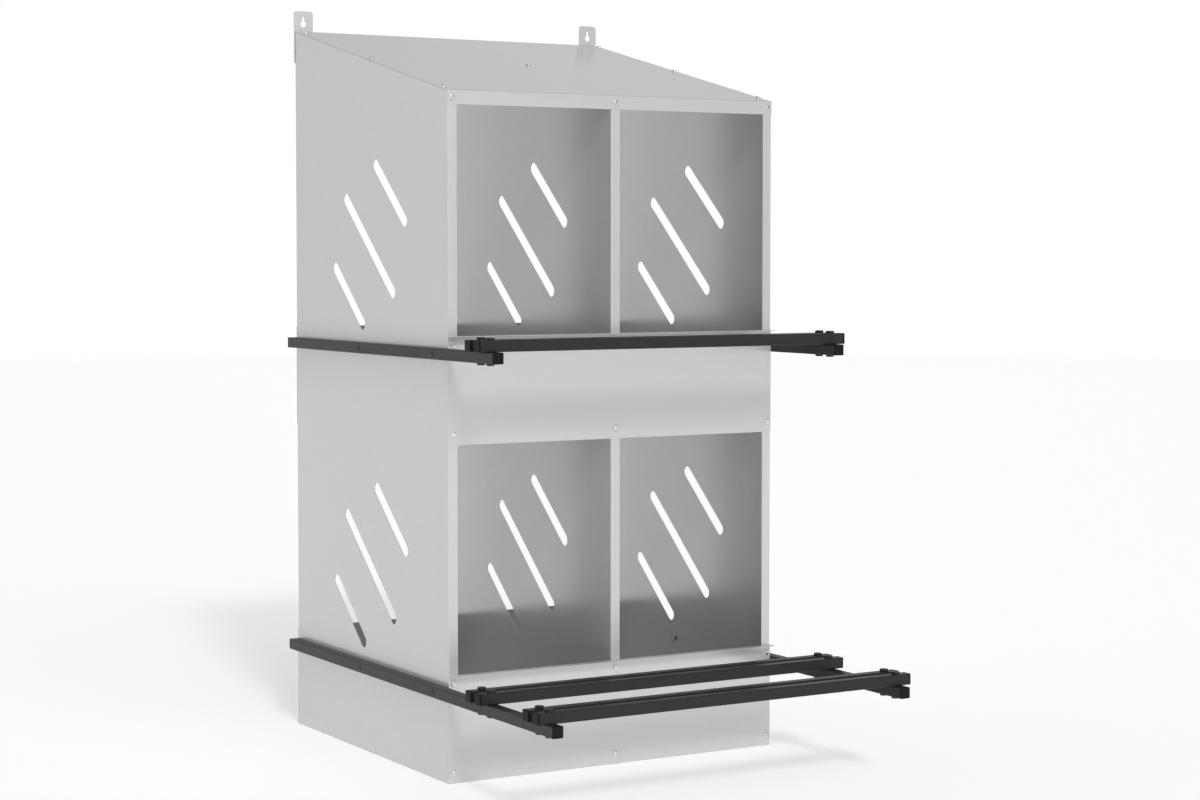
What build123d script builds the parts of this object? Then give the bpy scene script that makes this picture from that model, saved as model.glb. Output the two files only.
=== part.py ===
from build123d import *
import os
from math import atan2, cos, sin, tan

# Chicken nesting box: four open nests in two rows, folded from galvanised sheet, with perches of
# black square tube bolted to its sides and two tabs to hang it on a wall.
# Millimetres, X to the right, Y to the rear, Z up. The pieces are drawn with the front face of the
# jambs at Y = 0 and the ground at Z = 0, and moved to the middle of the footprint when they are saved.

# Carcass
BOX_WIDTH = 550.0           # over the outer faces of the side panels
BOX_DEPTH = 526.0           # front face of the jambs to the back of the rear flanges
FRONT_HEIGHT = 982.0        # ground to the top of the roof's front fold
REAR_HEIGHT = 1103.0        # ground to the top of the roof at the back
SHEET = 0.8                 # thickness of the sheet
BEND_RADIUS = 0.5           # inside radius of every fold
FLANGE = 15.0               # flanges folded along the side panels and the divider
BEND_RELIEF = 2.0           # gap between two flanges that meet at a corner
ROOF_LIP = 20.0             # front edge of the roof, folded down over the jambs

# Boards and floors
LEVEL_PITCH = 481.0         # lower nests to upper nests
BOARD_HEIGHT = 155.0        # front and rear boards
BOARD_LIP = 15.0            # top edge of a front board, folded forward
TONGUE = 16.0               # bottom edge of a board, folded in to carry the floors
TONGUE_GAP = 2.0            # between a tongue and the flanges beside it
FLOOR_GAP = 0.5             # play round a floor

# Slanting slots in the side panels and the divider
SLOT_WIDTH = 18.0
LONG_SLOT = 229.0           # middle slot, tip to tip
SHORT_SLOT = 144.0          # slots on both sides of it
SLOT_SPACING = 105.0        # between slots, square to them
SLOT_SLIDE = 4.0            # upper slot forwards along itself, lower slot to the rear
SLOT_ANGLE = 41.0           # degrees, rising to the rear
SLOT_BACK = 257.0           # middle of the slots behind the jambs
SLOT_RISE = 128.5           # middle of the slots above the boards

# Perches: pairs of rails lying across arms
TUBE = 16.0                 # square tube, outside
TUBE_WALL = 0.8
TUBE_CORNER = 0.5           # inside corner radius
PERCH_DROP = 1.0            # top of a rail below the top of the board
PERCH_REACH = 129.0         # middle of the first pair in front of the jambs
PERCH_PITCH = 162.0         # first pair to second pair
RAIL_SPACING = 27.0         # between the middles of the two rails of a pair
ARM_END = 16.0              # arm in front of its outermost rail
RAIL_END = 13.5             # rail beyond the arm's outer face
ARM_BOLT_BACK = 19.5        # first arm bolt behind the jambs
CAP_PLATE = 3.0             # end cap, outside the tube
CAP_PLUG = 10.0             # end cap, inside the tube
CAP_ROUND = 1.2
CAP_GAP = 0.1               # between the plug and the tube's wall

# Hanging tabs
TAB_WIDTH = 32.0
TAB_THICKNESS = 2.0
TAB_RISE = 32.0             # above the roof
TAB_LEG = 50.0              # below the roof
TAB_PROUD = 1.5             # beyond the side panel's outer face
TAB_CORNER = 5.0
KEYHOLE_RADIUS = 5.0
KEYHOLE_RISE = 11.5         # middle of the round hole above the roof
KEYHOLE_NECK = 4.5          # width of the narrow part
KEYHOLE_REACH = 11.5        # middle of the round hole to the top of the narrow part

# Screws in the sheet, and their nuts
SCREW_RADIUS = 2.0          # of the shank
SCREW_HEAD_RADIUS = 4.0
SCREW_HEAD_HEIGHT = 2.6
SCREW_HEAD_ROUND = 1.4
RECESS_LENGTH = 4.4         # cross recess in a screw head
RECESS_WIDTH = 0.9
RECESS_DEPTH = 1.2
SCREW_NUT_ACROSS = 7.0      # over the flats
SCREW_NUT_HEIGHT = 3.2
SCREW_END = 1.0             # screw beyond its nut

# Bolts in the perches, and their nuts
BOLT_RADIUS = 2.5           # of the shank
RAIL_HEAD_RADIUS = 6.2      # flat heads on the rails
RAIL_HEAD_HEIGHT = 3.5
RAIL_HEAD_ROUND = 1.2
ARM_HEAD_RADIUS = 4.5       # thin heads on the arms
ARM_HEAD_HEIGHT = 0.6
ARM_HEAD_ROUND = 0.4
SOCKET_ACROSS = 3.0         # hexagon socket in a head, over the flats
SOCKET_DEPTH = 2.0
RAIL_NUT_RADIUS = 5.6       # round nuts under the arms
RAIL_NUT_HEIGHT = 2.8
RAIL_NUT_ROUND = 1.2
ARM_NUT_ACROSS = 8.0        # hexagon nuts in the nests, over the flats
ARM_NUT_HEIGHT = 2.7
BOLT_SHORT = 0.2            # end of a bolt inside its nut

# Play round the shanks
HOLE_GAP = 0.15             # in a hole
THREAD_GAP = 0.05           # in a nut

# Where the screws sit
BOARD_SCREW_LOW = 16.0      # above a board's bottom
BOARD_SCREW_HIGH = 12.0     # below a board's top
ROOF_SCREW_END = 25.0       # from the front and from the back of the box
TAB_SCREW_LOW = 10.0        # above a tab's bottom
TAB_SCREW_HIGH = 14.0       # below the roof

# Worked out from the above
HALF_WIDTH = BOX_WIDTH / 2
FOLD_RADIUS = BEND_RADIUS + SHEET / 2
SLOPE = atan2(REAR_HEIGHT - FRONT_HEIGHT, BOX_DEPTH + SHEET)
LEVELS = {"lower": 0.0, "upper": LEVEL_PITCH}
DIVIDER_FACE = -FLANGE / 2
COLUMNS = (FLANGE / 2 - HALF_WIDTH, 0.0, HALF_WIDTH - FLANGE / 2)
ARM_MIDDLE = HALF_WIDTH + TUBE / 2
SHEET_GRIP = 2 * SHEET
TAB_GRIP = TAB_THICKNESS + SHEET
ARM_GRIP = TUBE + SHEET
RAIL_GRIP = 2 * TUBE
ARM_BOLTS_BACK = (ARM_BOLT_BACK, BOX_DEPTH / 2)
RAIL_LENGTH = 2 * (HALF_WIDTH + TUBE + RAIL_END)
PERCHES = {
    "upper": ("upper", PERCH_REACH),
    "lower_inner": ("lower", PERCH_REACH),
    "lower_outer": ("lower", PERCH_REACH + PERCH_PITCH),
}
RAILS = {
    f"{perch}_perch_{place}_rail": (level, reach + step)
    for perch, (level, reach) in PERCHES.items()
    for place, step in (("rear", -RAIL_SPACING / 2), ("front", RAIL_SPACING / 2))
}
ARM_REACH = {
    level: max(reach for rail_level, reach in RAILS.values() if rail_level == level) + TUBE / 2 + ARM_END
    for level in LEVELS
}
REAR_REACH = BOX_DEPTH + max(TAB_THICKNESS, SHEET) + SCREW_HEAD_HEIGHT
FOOTPRINT_MIDDLE = (REAR_REACH - max(ARM_REACH.values())) / 2


def roof_height(back, below):
    """Height of the plane lying below the roof's upper face, at a distance behind the jambs."""
    return FRONT_HEIGHT + (back + SHEET) * tan(SLOPE) - below / cos(SLOPE)


def rail_top(level):
    return LEVELS[level] + BOARD_HEIGHT - PERCH_DROP


def arm_height(level):
    """Height of the middle of an arm, which lies under its rails."""
    return rail_top(level) - TUBE - TUBE / 2


def aimed(x, y, z, direction):
    """Place at a point with its own Z along a direction."""
    return Location(Plane(origin=(x, y, z), z_dir=direction))


def folded(*points):
    """Section of a sheet folded along points in the middle of its thickness."""
    return trace(FilletPolyline(*points, radius=FOLD_RADIUS), SHEET)


def drilled(piece, seats, grip, radius=SCREW_RADIUS):
    """A piece with a hole at each seat, right through the thickness that the fastener grips."""
    drill = Cylinder(radius + HOLE_GAP, 2 * (grip + SHEET))
    return piece - [seat * drill for seat in seats]


# Seats: the point under each fastener's head, with Z pointing out of the head
def front_board_seats():
    rows = (BOARD_SCREW_LOW, BOARD_HEIGHT - BOARD_SCREW_HIGH)
    return [
        aimed(x, -SHEET, base + row, (0, -1, 0))
        for base in LEVELS.values() for row in rows for x in COLUMNS
    ]


def rear_board_seats():
    rows = (BOARD_SCREW_LOW, BOARD_HEIGHT - BOARD_SCREW_HIGH)
    return [
        aimed(x, BOX_DEPTH + SHEET, base + row, (0, 1, 0))
        for base in LEVELS.values() for row in rows for x in COLUMNS
    ]


def roof_seats():
    """Three seats on the front lip, three along each side of the slope and one over the divider."""
    front, middle, rear = ROOF_SCREW_END, BOX_DEPTH / 2, BOX_DEPTH - ROOF_SCREW_END
    left, center, right = COLUMNS
    spots = [(x, back) for x in (left, right) for back in (front, middle, rear)] + [(center, middle)]
    upward = (0, -sin(SLOPE), cos(SLOPE))
    lip = [aimed(x, -SHEET, FRONT_HEIGHT - ROOF_LIP / 2, (0, -1, 0)) for x in COLUMNS]
    return lip + [aimed(x, back, roof_height(back, 0), upward) for x, back in spots]


def tab_seats():
    left, _, right = COLUMNS
    heights = (REAR_HEIGHT - TAB_LEG + TAB_SCREW_LOW, REAR_HEIGHT - TAB_SCREW_HIGH)
    return [
        aimed(x, BOX_DEPTH + TAB_THICKNESS, z, (0, 1, 0)) for x in (left, right) for z in heights
    ]


def arm_seats():
    return [
        aimed(side * (HALF_WIDTH + TUBE), back, arm_height(level), (side, 0, 0))
        for level in LEVELS for side in (-1, 1) for back in ARM_BOLTS_BACK
    ]


def rail_seats():
    """One seat at every crossing of a rail and an arm."""
    return [
        aimed(side * ARM_MIDDLE, -reach, rail_top(level), (0, 0, 1))
        for level, reach in RAILS.values() for side in (-1, 1)
    ]


# Sheet pieces
def along_roof(section, near, far):
    """Run a section along under the roof, its local origin on the roof's lower face."""
    start = Plane(
        origin=(0, far, roof_height(far, SHEET)), x_dir=(1, 0, 0), z_dir=(0, -cos(SLOPE), -sin(SLOPE))
    )
    return extrude(start * section, (far - near) / cos(SLOPE))


def below_roof():
    """The space under the roof, less the corner that the roof's front fold fills."""
    top = roof_height(0, SHEET)
    side = Polygon(
        (0, 0),
        (BOX_DEPTH, 0),
        (BOX_DEPTH, roof_height(BOX_DEPTH, SHEET)),
        (BEND_RADIUS, roof_height(BEND_RADIUS, SHEET)),
        (BEND_RADIUS, top - BEND_RADIUS),
        (0, top - BEND_RADIUS),
        align=None,
    )
    return extrude(Plane.YZ * side, BOX_WIDTH, both=True)


def slots(face):
    """Cutters for the three slots of each level in a wall whose outer face is at X = face."""
    sizes = ((-1, SHORT_SLOT), (0, LONG_SLOT), (1, SHORT_SLOT))
    start = Plane.YZ.offset(face - SHEET)
    cutters = []
    for base in LEVELS.values():
        middle = Pos(SLOT_BACK, base + BOARD_HEIGHT + SLOT_RISE) * Rot(0, 0, SLOT_ANGLE)
        for step, length in sizes:
            outline = Pos(-step * SLOT_SLIDE, step * SLOT_SPACING) * SlotOverall(length, SLOT_WIDTH)
            cutters.append(extrude(start * (middle * outline), 3 * SHEET))
    return cutters


def wall(face):
    """A wall with its outer face at X = face and flanges to +X in front, at the back and on top."""
    middle, tip = face + SHEET / 2, face + FLANGE
    front, rear = SHEET / 2, BOX_DEPTH - SHEET / 2
    section = folded((tip, front), (middle, front), (middle, rear), (tip, rear))
    channel = extrude(section, REAR_HEIGHT) & below_roof()
    corner = SHEET + BEND_RADIUS + BEND_RELIEF
    band = BEND_RADIUS + 2 * SHEET
    strip = Pos(middle, -band / 2) * Rectangle(SHEET, band)
    flange = folded((tip, -SHEET / 2), (middle, -SHEET / 2), (middle, -band))
    near, far = corner, BOX_DEPTH - corner
    return channel - along_roof(strip, near, far) + along_roof(flange, near, far) - slots(face)


def screwed_wall(face):
    """A wall with the holes of every screw that reaches it."""
    piece = drilled(wall(face), front_board_seats(), SHEET_GRIP)
    piece = drilled(piece, rear_board_seats(), SHEET_GRIP)
    return drilled(piece, roof_seats(), SHEET_GRIP)


def side_panel():
    """Left side panel, with the holes of its tab and of the perch arms."""
    piece = drilled(screwed_wall(-HALF_WIDTH), tab_seats(), TAB_GRIP)
    return drilled(piece, arm_seats(), ARM_GRIP, BOLT_RADIUS)


def roof_panel():
    front, rear = -SHEET / 2, BOX_DEPTH - SHEET
    section = folded(
        (front, FRONT_HEIGHT - ROOF_LIP),
        (front, roof_height(front, SHEET / 2)),
        (rear, roof_height(rear, SHEET / 2)),
    )
    sheet = extrude(Plane.YZ * section, HALF_WIDTH, both=True)
    return drilled(sheet, roof_seats(), SHEET_GRIP)


def board(plain, tongued, seats):
    """A board across the box, its bottom edge folded in between the flanges of the walls."""
    outer = HALF_WIDTH - FLANGE - TONGUE_GAP
    inner = FLANGE / 2 + TONGUE_GAP
    ends = (-HALF_WIDTH, -outer, -inner, inner, outer, HALF_WIDTH)
    sections = (plain, tongued, plain, tongued, plain)
    spans = [
        extrude(Plane.YZ.offset(start) * section, end - start)
        for start, end, section in zip(ends, ends[1:], sections)
    ]
    return drilled(Part() + spans, seats, SHEET_GRIP)


def front_board(base):
    top, face = base + BOARD_HEIGHT - SHEET / 2, -SHEET / 2
    plain = folded((-BOARD_LIP, top), (face, top), (face, base))
    tongue = base + SHEET / 2
    tongued = folded((-BOARD_LIP, top), (face, top), (face, tongue), (TONGUE, tongue))
    return board(plain, tongued, front_board_seats())


def rear_board(base):
    face, tongue = BOX_DEPTH + SHEET / 2, base + SHEET / 2
    plain = Pos(face, base + BOARD_HEIGHT / 2) * Rectangle(SHEET, BOARD_HEIGHT)
    tongued = folded((face, base + BOARD_HEIGHT), (face, tongue), (BOX_DEPTH - TONGUE, tongue))
    return board(plain, tongued, rear_board_seats())


def floor(base, left_face, right_face):
    """A flat nest floor between two wall faces, resting on the tongues of the boards."""
    left, right = left_face + FLOOR_GAP, right_face - FLOOR_GAP
    front = SHEET + BEND_RADIUS + FLOOR_GAP
    sheet = Box(right - left, BOX_DEPTH - 2 * front, SHEET)
    return Pos((left + right) / 2, BOX_DEPTH / 2, base + SHEET + SHEET / 2) * sheet


def hanging_tab():
    """Left tab: a plate behind the rear flange, with a keyhole above the roof."""
    bottom, top = REAR_HEIGHT - TAB_LEG, REAR_HEIGHT + TAB_RISE
    plate = Pos(0, (bottom + top) / 2) * Rectangle(TAB_WIDTH, top - bottom)
    plate = fillet(plate.vertices().group_by(Axis.Y)[-1], TAB_CORNER)
    hole = REAR_HEIGHT + KEYHOLE_RISE
    neck = KEYHOLE_REACH - KEYHOLE_NECK / 2
    plate -= Pos(0, hole) * Circle(KEYHOLE_RADIUS)
    plate -= Pos(0, hole + neck / 2) * Rectangle(KEYHOLE_NECK, neck)
    plate -= Pos(0, hole + neck) * Circle(KEYHOLE_NECK / 2)
    middle = TAB_WIDTH / 2 - HALF_WIDTH - TAB_PROUD
    back = Plane.XZ.offset(-BOX_DEPTH - TAB_THICKNESS)
    tab = extrude(back * (Pos(middle, 0) * plate), TAB_THICKNESS)
    return drilled(tab, tab_seats(), TAB_GRIP)


# Perch pieces
def tube_outline():
    return RectangleRounded(TUBE, TUBE, TUBE_WALL + TUBE_CORNER)


def tube(length):
    bore = TUBE - 2 * TUBE_WALL
    return extrude(tube_outline() - RectangleRounded(bore, bore, TUBE_CORNER), length)


def end_cap():
    """A square plug, its plate above Z = 0 and its stem below, inside the tube."""
    plate = extrude(tube_outline(), CAP_PLATE)
    plate = fillet(plate.faces().sort_by(Axis.Z)[-1].edges(), CAP_ROUND)
    stem = TUBE - 2 * (TUBE_WALL + CAP_GAP)
    return plate + extrude(RectangleRounded(stem, stem, TUBE_CORNER), -CAP_PLUG)


def perch_arm(level, side):
    """An arm and its two end caps."""
    x, z = side * ARM_MIDDLE, arm_height(level)
    front, rear = CAP_PLATE - ARM_REACH[level], BOX_DEPTH - CAP_PLATE
    arm = aimed(x, front, z, (0, 1, 0)) * tube(rear - front)
    arm = drilled(arm, arm_seats(), ARM_GRIP, BOLT_RADIUS)
    arm = drilled(arm, rail_seats(), RAIL_GRIP, BOLT_RADIUS)
    caps = [aimed(x, front, z, (0, -1, 0)) * end_cap(), aimed(x, rear, z, (0, 1, 0)) * end_cap()]
    return arm, caps


def perch_rail(level, reach):
    """A rail and its two end caps."""
    end, z = RAIL_LENGTH / 2 - CAP_PLATE, rail_top(level) - TUBE / 2
    rail = aimed(-end, -reach, z, (1, 0, 0)) * tube(2 * end)
    rail = drilled(rail, rail_seats(), RAIL_GRIP, BOLT_RADIUS)
    caps = [aimed(side * end, -reach, z, (side, 0, 0)) * end_cap() for side in (-1, 1)]
    return rail, caps


# Fasteners, drawn with the head above Z = 0
def rod(radius, length):
    """A shank below Z = 0."""
    return Pos(0, 0, -length / 2) * Cylinder(radius, length)


def hexagon(across):
    return RegularPolygon(across / 2, 6, major_radius=False)


def button(radius, height, rounding):
    """A round head, its upper edge rounded."""
    head = Pos(0, 0, height / 2) * Cylinder(radius, height)
    return fillet(head.faces().sort_by(Axis.Z)[-1].edges(), rounding)


def hexagon_nut(across, height, radius, grip):
    """A plain hexagon nut under what the fastener grips."""
    outline = hexagon(across) - Circle(radius + THREAD_GAP)
    return Pos(0, 0, -grip) * extrude(outline, -height)


def pan_screw(grip):
    """A screw with a cross recess in its rounded head."""
    head = button(SCREW_HEAD_RADIUS, SCREW_HEAD_HEIGHT, SCREW_HEAD_ROUND)
    slot = Box(RECESS_LENGTH, RECESS_WIDTH, 2 * RECESS_DEPTH)
    recess = Pos(0, 0, SCREW_HEAD_HEIGHT) * (slot + Rot(0, 0, 90) * slot)
    return head - recess + rod(SCREW_RADIUS, grip + SCREW_NUT_HEIGHT + SCREW_END)


def screw_nut(grip):
    return hexagon_nut(SCREW_NUT_ACROSS, SCREW_NUT_HEIGHT, SCREW_RADIUS, grip)


def socket_bolt(head, height, length):
    """A bolt with a hexagon socket in a head of some height."""
    socket = Pos(0, 0, height) * extrude(hexagon(SOCKET_ACROSS), -SOCKET_DEPTH)
    return head + rod(BOLT_RADIUS, length) - socket


def rail_bolt(grip):
    head = button(RAIL_HEAD_RADIUS, RAIL_HEAD_HEIGHT, RAIL_HEAD_ROUND)
    return socket_bolt(head, RAIL_HEAD_HEIGHT, grip + RAIL_NUT_HEIGHT - BOLT_SHORT)


def rail_nut(grip):
    """A round nut, its lower edge rounded."""
    nut = Rot(180, 0, 0) * button(RAIL_NUT_RADIUS, RAIL_NUT_HEIGHT, RAIL_NUT_ROUND)
    return Pos(0, 0, -grip) * (nut - rod(BOLT_RADIUS + THREAD_GAP, RAIL_NUT_HEIGHT))


def arm_bolt(grip):
    head = button(ARM_HEAD_RADIUS, ARM_HEAD_HEIGHT, ARM_HEAD_ROUND)
    return socket_bolt(head, ARM_HEAD_HEIGHT, grip + ARM_NUT_HEIGHT - BOLT_SHORT)


def arm_nut(grip):
    return hexagon_nut(ARM_NUT_ACROSS, ARM_NUT_HEIGHT, BOLT_RADIUS, grip)


def save(name, *pieces):
    """Write the solids of one node, moved so that the origin is the middle of the footprint."""
    solids = [solid for piece in pieces for solid in piece.solids()]
    export_step(Pos(0, -FOOTPRINT_MIDDLE, 0) * Compound(solids), f"parts/{name}.step")


def save_fasteners(name, seats, head, under, grip):
    """Write a set of screws or bolts and the set of their nuts."""
    kind = "screws" if head is pan_screw else "bolts"
    save(f"{name}_{kind}", *[seat * head(grip) for seat in seats])
    save(f"{name}_nuts", *[seat * under(grip) for seat in seats])


os.makedirs("parts", exist_ok=True)

left_panel = side_panel()
save("left_side_panel", left_panel)
save("right_side_panel", mirror(left_panel, about=Plane.YZ))
save("center_divider", screwed_wall(DIVIDER_FACE))
save("roof_panel", roof_panel())

left_tab = hanging_tab()
save("left_hanging_tab", left_tab)
save("right_hanging_tab", mirror(left_tab, about=Plane.YZ))

arm_caps, rail_caps = [], []
for level, base in LEVELS.items():
    save(f"{level}_front_board", front_board(base))
    save(f"{level}_rear_board", rear_board(base))
    save(f"{level}_left_floor", floor(base, SHEET - HALF_WIDTH, DIVIDER_FACE))
    save(f"{level}_right_floor", floor(base, DIVIDER_FACE + SHEET, HALF_WIDTH - SHEET))
    for side_name, side in (("left", -1), ("right", 1)):
        arm, caps = perch_arm(level, side)
        save(f"{level}_{side_name}_perch_arm", arm)
        arm_caps += caps
for name, (level, reach) in RAILS.items():
    rail, caps = perch_rail(level, reach)
    save(name, rail)
    rail_caps += caps
save("perch_arm_caps", *arm_caps)
save("perch_rail_caps", *rail_caps)

save_fasteners("roof", roof_seats(), pan_screw, screw_nut, SHEET_GRIP)
save_fasteners("front_board", front_board_seats(), pan_screw, screw_nut, SHEET_GRIP)
save_fasteners("rear_board", rear_board_seats(), pan_screw, screw_nut, SHEET_GRIP)
save_fasteners("tab", tab_seats(), pan_screw, screw_nut, TAB_GRIP)
save_fasteners("perch_arm", arm_seats(), arm_bolt, arm_nut, ARM_GRIP)
save_fasteners("perch_rail", rail_seats(), rail_bolt, rail_nut, RAIL_GRIP)
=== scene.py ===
from math import radians

import bpy
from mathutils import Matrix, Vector

# Looks of the chicken nesting box: galvanised sheet, bright screws and black perches.
# Metres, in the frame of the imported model.

# Camera: the photograph's frame is 1200 by 800 pixels
FRAME_WIDTH_PX = 1200
FOCAL_PX = 2474.5
SENSOR_WIDTH_MM = 36.0
CAMERA_PLACE = (-1.861, -3.206, 0.757)
CAMERA_LEVEL = radians(90.0)       # from looking straight down to looking level
CAMERA_TILT = radians(2.632)       # from level, looking down
CAMERA_HEADING = radians(30.583)   # turned right from straight at the fronts
CAMERA_SHIFT = -0.03

# Studio: even light from all round, and soft lights with a direction, a narrowness and a strength
WHITE = (1.0, 1.0, 1.0, 1.0)
EVEN_LIGHT = 0.18
SOFT_LIGHTS = (
    ((-0.19, -0.76, 0.62), 500.0, 75.0),   # in front, on the left, above, small
    ((0.0, -0.77, 0.64), 10.0, 1.2),       # in front, above
    ((0.0, -1.0, 0.09), 10.0, 1.4),        # in front
    ((-0.77, 0.0, 0.64), 10.0, 0.2),       # on the left, above
    ((-0.71, 0.71, 0.0), 5.0, 0.95),       # behind, on the left
    ((0.51, 0.79, 0.33), 20.0, 0.5),       # behind, on the right, above
    ((1.0, 0.0, 0.09), 10.0, 0.8),         # on the right
)
FLOOR_RADIUS = 14.0
FLOOR_SIDES = 128
FLOOR_COLOR = (0.92, 0.92, 0.92, 1.0)
FLOOR_GLOW = 0.37                          # a light of its own keeps the floor near white

# Tones: the darkest and the lightest of each material
SHEET_TONES = ((0.60, 0.60, 0.60, 1.0), (0.63, 0.63, 0.63, 1.0))
ZINC_TONES = ((0.72, 0.72, 0.73, 1.0), (0.84, 0.84, 0.85, 1.0))
COAT_TONES = ((0.018, 0.018, 0.018, 1.0), (0.023, 0.023, 0.023, 1.0))
PLASTIC_TONES = ((0.005, 0.005, 0.005, 1.0), (0.009, 0.009, 0.009, 1.0))
HARDWARE_TONES = ((0.012, 0.012, 0.012, 1.0), (0.018, 0.018, 0.018, 1.0))
ROLLING_GRAIN = (900.0, 900.0, 60.0)       # features per metre: fine across the sheet, long up its height

# Nodes of each material
SIDES = ("left", "right")
LEVELS = ("upper", "lower")
PERCHES = ("upper", "lower_inner", "lower_outer")
SCREWED_PLACES = ("roof", "front_board", "rear_board", "tab")
SHEET_NODES = (
    ["center_divider", "roof_panel"]
    + [f"{side}_{piece}" for side in SIDES for piece in ("side_panel", "hanging_tab")]
    + [f"{level}_{piece}" for level in LEVELS for piece in ("front_board", "rear_board")]
    + [f"{level}_{side}_floor" for level in LEVELS for side in SIDES]
)
ZINC_NODES = ["perch_arm_nuts"] + [
    f"{place}_{piece}" for place in SCREWED_PLACES for piece in ("screws", "nuts")
]
TUBE_NODES = (
    [f"{level}_{side}_perch_arm" for level in LEVELS for side in SIDES]
    + [f"{perch}_perch_{place}_rail" for perch in PERCHES for place in ("rear", "front")]
)
CAP_NODES = ["perch_arm_caps", "perch_rail_caps"]
HARDWARE_NODES = ["perch_arm_bolts", "perch_rail_bolts", "perch_rail_nuts"]

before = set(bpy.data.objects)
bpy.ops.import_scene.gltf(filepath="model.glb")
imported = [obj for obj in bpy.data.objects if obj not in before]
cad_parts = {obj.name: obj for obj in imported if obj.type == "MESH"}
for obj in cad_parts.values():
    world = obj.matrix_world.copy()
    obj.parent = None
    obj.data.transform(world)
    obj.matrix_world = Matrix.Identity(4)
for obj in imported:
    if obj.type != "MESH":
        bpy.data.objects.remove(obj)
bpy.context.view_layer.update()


class Shader:
    """A Principled material with short names for the nodes that drive it."""

    def __init__(self, name, **values):
        self.material = bpy.data.materials.new(name)
        self.material.use_nodes = True
        self.tree = self.material.node_tree
        self.principled = self.tree.nodes["Principled BSDF"]
        for socket, value in values.items():
            self.principled.inputs[socket.replace("_", " ")].default_value = value
        self.place = self.node("ShaderNodeTexCoord").outputs["Object"]

    def node(self, kind):
        return self.tree.nodes.new(kind)

    def link(self, source, target):
        self.tree.links.new(source, target)

    def stretched(self, scale):
        """Object coordinates scaled along each axis."""
        mapping = self.node("ShaderNodeMapping")
        mapping.inputs["Scale"].default_value = scale
        self.link(self.place, mapping.inputs["Vector"])
        return mapping.outputs["Vector"]

    def noise(self, scale, detail=2.0, vector=None):
        """Soft noise between 0 and 1, with scale features per metre."""
        noise = self.node("ShaderNodeTexNoise")
        noise.inputs["Scale"].default_value = scale
        noise.inputs["Detail"].default_value = detail
        self.link(vector or self.place, noise.inputs["Vector"])
        return noise.outputs["Fac"]

    def cells(self, scale):
        """One random value between 0 and 1 for each crystal-like cell."""
        voronoi = self.node("ShaderNodeTexVoronoi")
        voronoi.inputs["Scale"].default_value = scale
        self.link(self.place, voronoi.inputs["Vector"])
        split = self.node("ShaderNodeSeparateColor")
        self.link(voronoi.outputs["Color"], split.inputs["Color"])
        return split.outputs["Red"]

    def between(self, value, low, high):
        """Map a value from 0..1 to low..high."""
        remap = self.node("ShaderNodeMapRange")
        remap.inputs["To Min"].default_value = low
        remap.inputs["To Max"].default_value = high
        self.link(value, remap.inputs["Value"])
        return remap.outputs["Result"]

    def total(self, first, second):
        """Sum of two values."""
        adder = self.node("ShaderNodeMath")
        adder.operation = "ADD"
        self.link(first, adder.inputs[0])
        self.link(second, adder.inputs[1])
        return adder.outputs["Value"]

    def blend(self, factor, dark, light):
        """Base colour between two tones."""
        ramp = self.node("ShaderNodeValToRGB")
        ramp.color_ramp.elements[0].color = dark
        ramp.color_ramp.elements[1].color = light
        self.link(factor, ramp.inputs["Fac"])
        self.link(ramp.outputs["Color"], self.principled.inputs["Base Color"])

    def rough(self, value, low, high):
        """Roughness between two values."""
        self.link(self.between(value, low, high), self.principled.inputs["Roughness"])

    def bump(self, height, strength, distance):
        """Fine relief, with its depth in metres."""
        bump = self.node("ShaderNodeBump")
        bump.inputs["Strength"].default_value = strength
        bump.inputs["Distance"].default_value = distance
        self.link(height, bump.inputs["Height"])
        self.link(bump.outputs["Normal"], self.principled.inputs["Normal"])


def galvanised():
    """Smooth zinc coat: faint crystals, soft clouds and a fine rolling grain."""
    shader = Shader("galvanised_sheet", Metallic=0.35)
    crystals = shader.between(shader.cells(scale=90.0), low=0.0, high=0.3)
    clouds = shader.between(shader.noise(scale=3.0), low=0.0, high=0.7)
    tone = shader.total(crystals, clouds)
    shader.blend(tone, *SHEET_TONES)
    shader.rough(tone, low=0.18, high=0.22)
    grain = shader.noise(scale=1.0, detail=3.0, vector=shader.stretched(ROLLING_GRAIN))
    shader.bump(grain, strength=0.03, distance=0.0002)
    return shader.material


def bright_zinc():
    """Plated screws and nuts."""
    shader = Shader("bright_zinc", Metallic=1.0)
    mottle = shader.noise(scale=500.0, detail=3.0)
    shader.blend(mottle, *ZINC_TONES)
    shader.rough(mottle, low=0.08, high=0.16)
    shader.bump(mottle, strength=0.08, distance=0.0001)
    return shader.material


def black_coat():
    """Satin powder coat with a fine orange peel."""
    shader = Shader("black_powder_coat", Specular_IOR_Level=0.25)
    peel = shader.noise(scale=900.0)
    clouds = shader.noise(scale=14.0, detail=3.0)
    shader.blend(clouds, *COAT_TONES)
    shader.rough(clouds, low=0.32, high=0.42)
    shader.bump(peel, strength=0.12, distance=0.0002)
    return shader.material


def black_plastic():
    """Moulded end caps, a little more matt than the tube."""
    shader = Shader("black_plastic", Specular_IOR_Level=0.15)
    grain = shader.noise(scale=1600.0)
    shader.blend(grain, *PLASTIC_TONES)
    shader.rough(grain, low=0.45, high=0.58)
    shader.bump(grain, strength=0.15, distance=0.0001)
    return shader.material


def black_hardware():
    """Blackened bolts and nuts."""
    shader = Shader("black_hardware", Specular_IOR_Level=0.35)
    mottle = shader.noise(scale=700.0, detail=3.0)
    shader.blend(mottle, *HARDWARE_TONES)
    shader.rough(mottle, low=0.32, high=0.44)
    shader.bump(mottle, strength=0.10, distance=0.0001)
    return shader.material


def dress(names, material):
    """Give CAD nodes a material."""
    for name in names:
        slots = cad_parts[name].data.materials
        slots.clear()
        slots.append(material)


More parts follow.
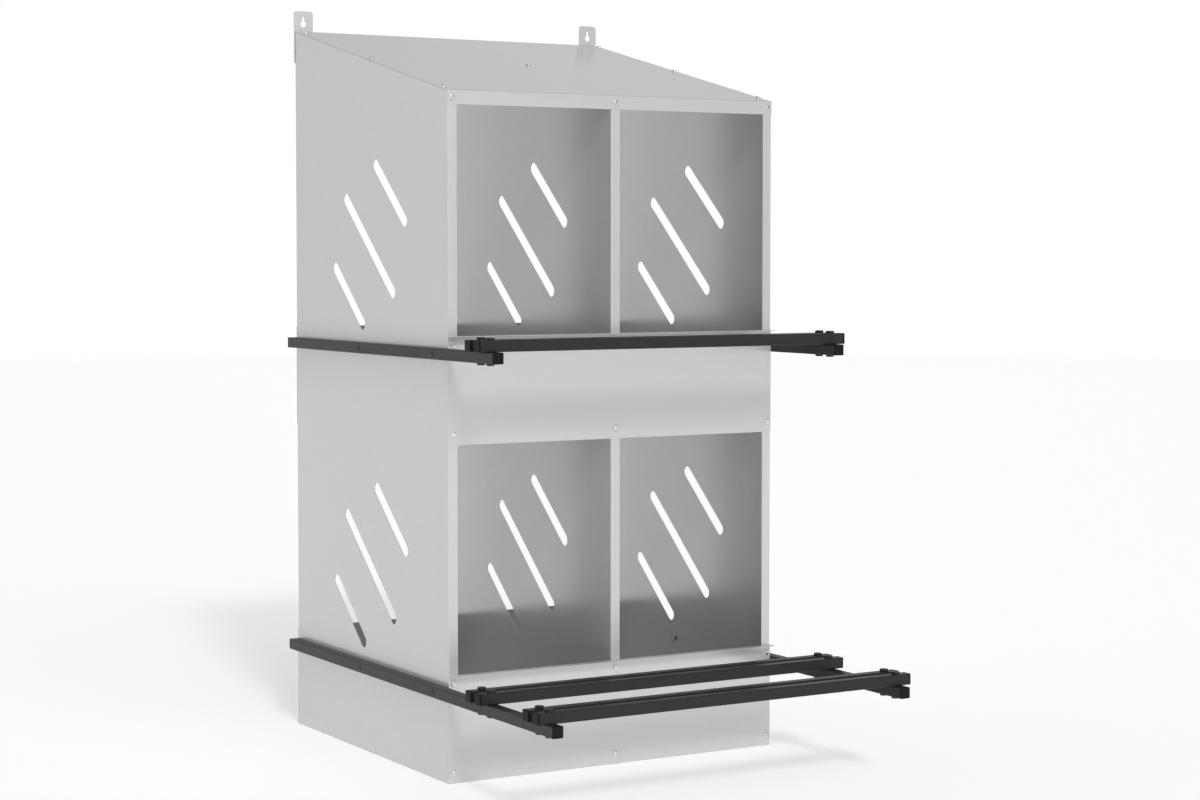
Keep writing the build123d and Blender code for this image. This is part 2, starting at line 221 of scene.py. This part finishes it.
def studio_floor():
    """Plain pale floor, not part of the object."""
    bpy.ops.mesh.primitive_circle_add(vertices=FLOOR_SIDES, radius=FLOOR_RADIUS, fill_type="NGON")
    floor = bpy.context.object
    floor.name = "studio_floor"
    shader = Shader(
        "studio_floor", Base_Color=FLOOR_COLOR, Roughness=0.6, Specular_IOR_Level=0.2,
        Emission_Color=WHITE, Emission_Strength=FLOOR_GLOW,
    )
    floor.data.materials.append(shader.material)


class World:
    """A white surrounding whose strength depends on the direction."""

    def __init__(self, name):
        world = bpy.data.worlds.new(name)
        bpy.context.scene.world = world
        world.use_nodes = True
        self.tree = world.node_tree
        self.background = self.tree.nodes["Background"]
        self.background.inputs["Color"].default_value = WHITE
        self.direction = self.tree.nodes.new("ShaderNodeTexCoord").outputs["Generated"]

    def math(self, operation, *values):
        """One operation on numbers and on the results of other nodes."""
        made = self.tree.nodes.new("ShaderNodeMath")
        made.operation = operation
        for socket, value in zip(made.inputs, values):
            if isinstance(value, float):
                socket.default_value = value
            else:
                self.tree.links.new(value, socket)
        return made.outputs["Value"]

    def soft_light(self, direction, narrowness, strength):
        """Strength that falls off smoothly round a direction."""
        dot = self.tree.nodes.new("ShaderNodeVectorMath")
        dot.operation = "DOT_PRODUCT"
        dot.inputs[1].default_value = Vector(direction).normalized()
        self.tree.links.new(self.direction, dot.inputs[0])
        fall = self.math("MULTIPLY_ADD", dot.outputs["Value"], narrowness, -narrowness)
        return self.math("MULTIPLY", self.math("EXPONENT", fall), strength)

    def finish(self, strength):
        """Light of a strength, in front of a plain white backdrop."""
        seen = self.tree.nodes.new("ShaderNodeLightPath").outputs["Is Camera Ray"]
        self.tree.links.new(self.math("MAXIMUM", strength, seen), self.background.inputs["Strength"])


def studio_light():
    """Even light and soft lights round the object."""
    world = World("studio")
    strength = EVEN_LIGHT
    for light in SOFT_LIGHTS:
        strength = world.math("ADD", world.soft_light(*light), strength)
    world.finish(strength)


def camera():
    """Camera at the photograph's angle."""
    data = bpy.data.cameras.new("camera")
    data.sensor_width = SENSOR_WIDTH_MM
    data.lens = FOCAL_PX / FRAME_WIDTH_PX * SENSOR_WIDTH_MM
    data.shift_y = CAMERA_SHIFT
    seat = bpy.data.objects.new("camera", data)
    seat.location = CAMERA_PLACE
    seat.rotation_euler = (CAMERA_LEVEL - CAMERA_TILT, 0.0, -CAMERA_HEADING)
    bpy.context.collection.objects.link(seat)
    bpy.context.scene.camera = seat


dress(SHEET_NODES, galvanised())
dress(ZINC_NODES, bright_zinc())
dress(TUBE_NODES, black_coat())
dress(CAP_NODES, black_plastic())
dress(HARDWARE_NODES, black_hardware())
studio_floor()
studio_light()
camera()
bpy.context.scene.view_settings.view_transform = "Standard"
bpy.context.scene.cycles.use_denoising = True
